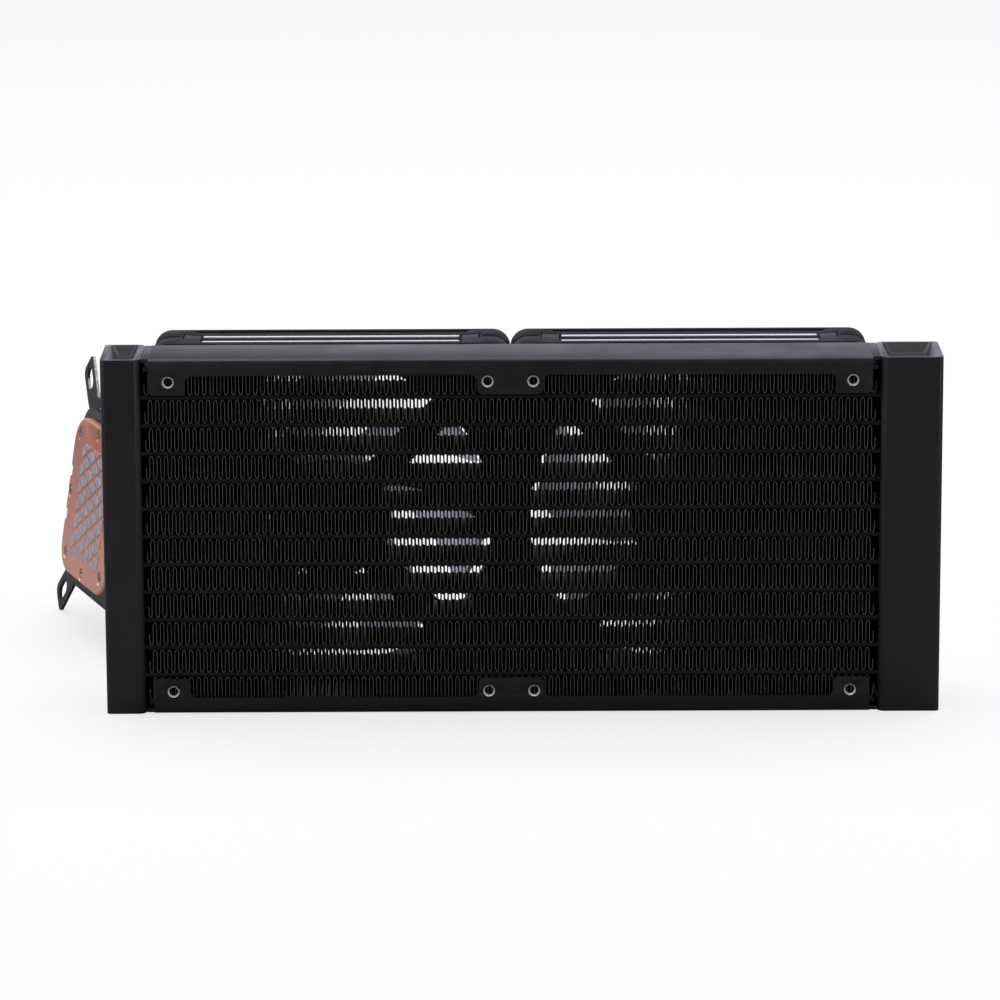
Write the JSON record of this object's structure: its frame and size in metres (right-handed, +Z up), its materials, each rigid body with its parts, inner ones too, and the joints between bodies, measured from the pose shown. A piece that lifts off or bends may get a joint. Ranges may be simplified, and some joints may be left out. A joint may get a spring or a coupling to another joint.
{
  "type": "liquid cooling radiator",
  "caption": "Closed-loop liquid cooler: slim finned radiator on its long edge, square fans screwed to its back, pump and copper cold-plate head lying behind one tank.",
  "frame": {"origin": "middle of the bottom rail's outer face, half way between the two fans, on the surface the radiator stands on", "axes": "+X along the radiator towards the tank with the hose ports, +Y through its depth from the open core face to the fans, +Z up"},
  "size_m": [0.3062, 0.1736, 0.12],
  "materials": {
    "radiator_black": "satin black powder coat with a very fine grain",
    "core_tube": "thin black paint over brazed flat tube",
    "core_fin": "thin black paint over folded fin sheet",
    "port_black": "smooth black hose fitting",
    "fan_frame": "dark grey moulded plastic, fine texture",
    "fan_rotor": "light grey moulded plastic, satin",
    "shaft_steel": "ground steel",
    "winding": "enamelled copper wire on a steel core",
    "screw_black": "black zinc-plated steel",
    "cold_plate": "ground copper, satin",
    "thermal_paste": "grey paste printed in small patches",
    "bracket": "dark grey coated sheet steel with bare cut edges",
    "pump_plastic": "black moulded plastic",
    "impeller": "white moulded plastic",
    "ceramic": "ground ceramic",
    "pcb": "green circuit board"
  },
  "bodies": {
    "root": {"flat_tube_01": "core_tube", "flat_tube_02": "core_tube", "flat_tube_03": "core_tube", "flat_tube_04": "core_tube", "flat_tube_05": "core_tube", "flat_tube_06": "core_tube", "flat_tube_07": "core_tube", "flat_tube_08": "core_tube", "flat_tube_09": "core_tube", "flat_tube_10": "core_tube", "flat_tube_11": "core_tube", "fin_row_01": "core_fin", "fin_row_02": "core_fin", "fin_row_03": "core_fin", "fin_row_04": "core_fin", "fin_row_05": "core_fin", "fin_row_06": "core_fin", "fin_row_07": "core_fin", "fin_row_08": "core_fin", "fin_row_09": "core_fin", "fin_row_10": "core_fin", "fin_row_11": "core_fin", "fin_row_12": "core_fin", "core_plate_top": "radiator_black", "core_plate_bottom": "radiator_black", "tank_left": "radiator_black", "tank_right": "radiator_black", "header_left": "core_tube", "header_right": "core_tube", "port_lower": "port_black", "port_upper": "port_black", "top_rail": "radiator_black", "bottom_rail": "radiator_black", "fan_left_frame": "fan_frame", "fan_left_stator": "winding", "fan_right_frame": "fan_frame", "fan_right_stator": "winding", "fan_screw_1": "screw_black", "fan_screw_2": "screw_black", "fan_screw_3": "screw_black", "fan_screw_4": "screw_black", "fan_screw_5": "screw_black", "fan_screw_6": "screw_black", "fan_screw_7": "screw_black", "fan_screw_8": "screw_black", "cold_plate": "cold_plate", "thermal_paste": "thermal_paste", "mounting_bracket": "bracket", "pump_housing": "pump_plastic", "pump_cover": "pump_plastic", "pump_shaft": "ceramic", "pump_stator": "winding", "pump_pcb": "pcb"},
    "fan_left": {"fan_left_rotor": "fan_rotor", "fan_left_shaft": "shaft_steel"},
    "fan_right": {"fan_right_rotor": "fan_rotor", "fan_right_shaft": "shaft_steel"},
    "pump_impeller": {"impeller": "impeller"},
    "elbow_upper_body": {"elbow_upper": "pump_plastic"},
    "elbow_lower_body": {"elbow_lower": "pump_plastic"}
  },
  "joints": [
    {"name": "fan_left_spin", "type": "hinge", "parent": "root", "child": "fan_left", "pos_m": [-0.06, 0.0263, 0.06], "axis": [0, 1, 0], "continuous": true},
    {"name": "fan_right_spin", "type": "hinge", "parent": "root", "child": "fan_right", "pos_m": [0.06, 0.0263, 0.06], "axis": [0, 1, 0], "continuous": true},
    {"name": "impeller_spin", "type": "hinge", "parent": "root", "child": "pump_impeller", "pos_m": [-0.12937, 0.09737, 0.04424], "axis": [-0.9257, -0.3459, 0.1533], "continuous": true},
    {"name": "elbow_upper_swivel", "type": "hinge", "parent": "root", "child": "elbow_upper_body", "pos_m": [-0.1414, 0.14663, 0.05662], "axis": [-0.3496, 0.9369, 0.0029], "range_deg": [-90, 10]},
    {"name": "elbow_lower_swivel", "type": "hinge", "parent": "root", "child": "elbow_lower_body", "pos_m": [-0.14517, 0.14531, 0.03093], "axis": [-0.3496, 0.9369, 0.0029], "range_deg": [-10, 90]}
  ]
}
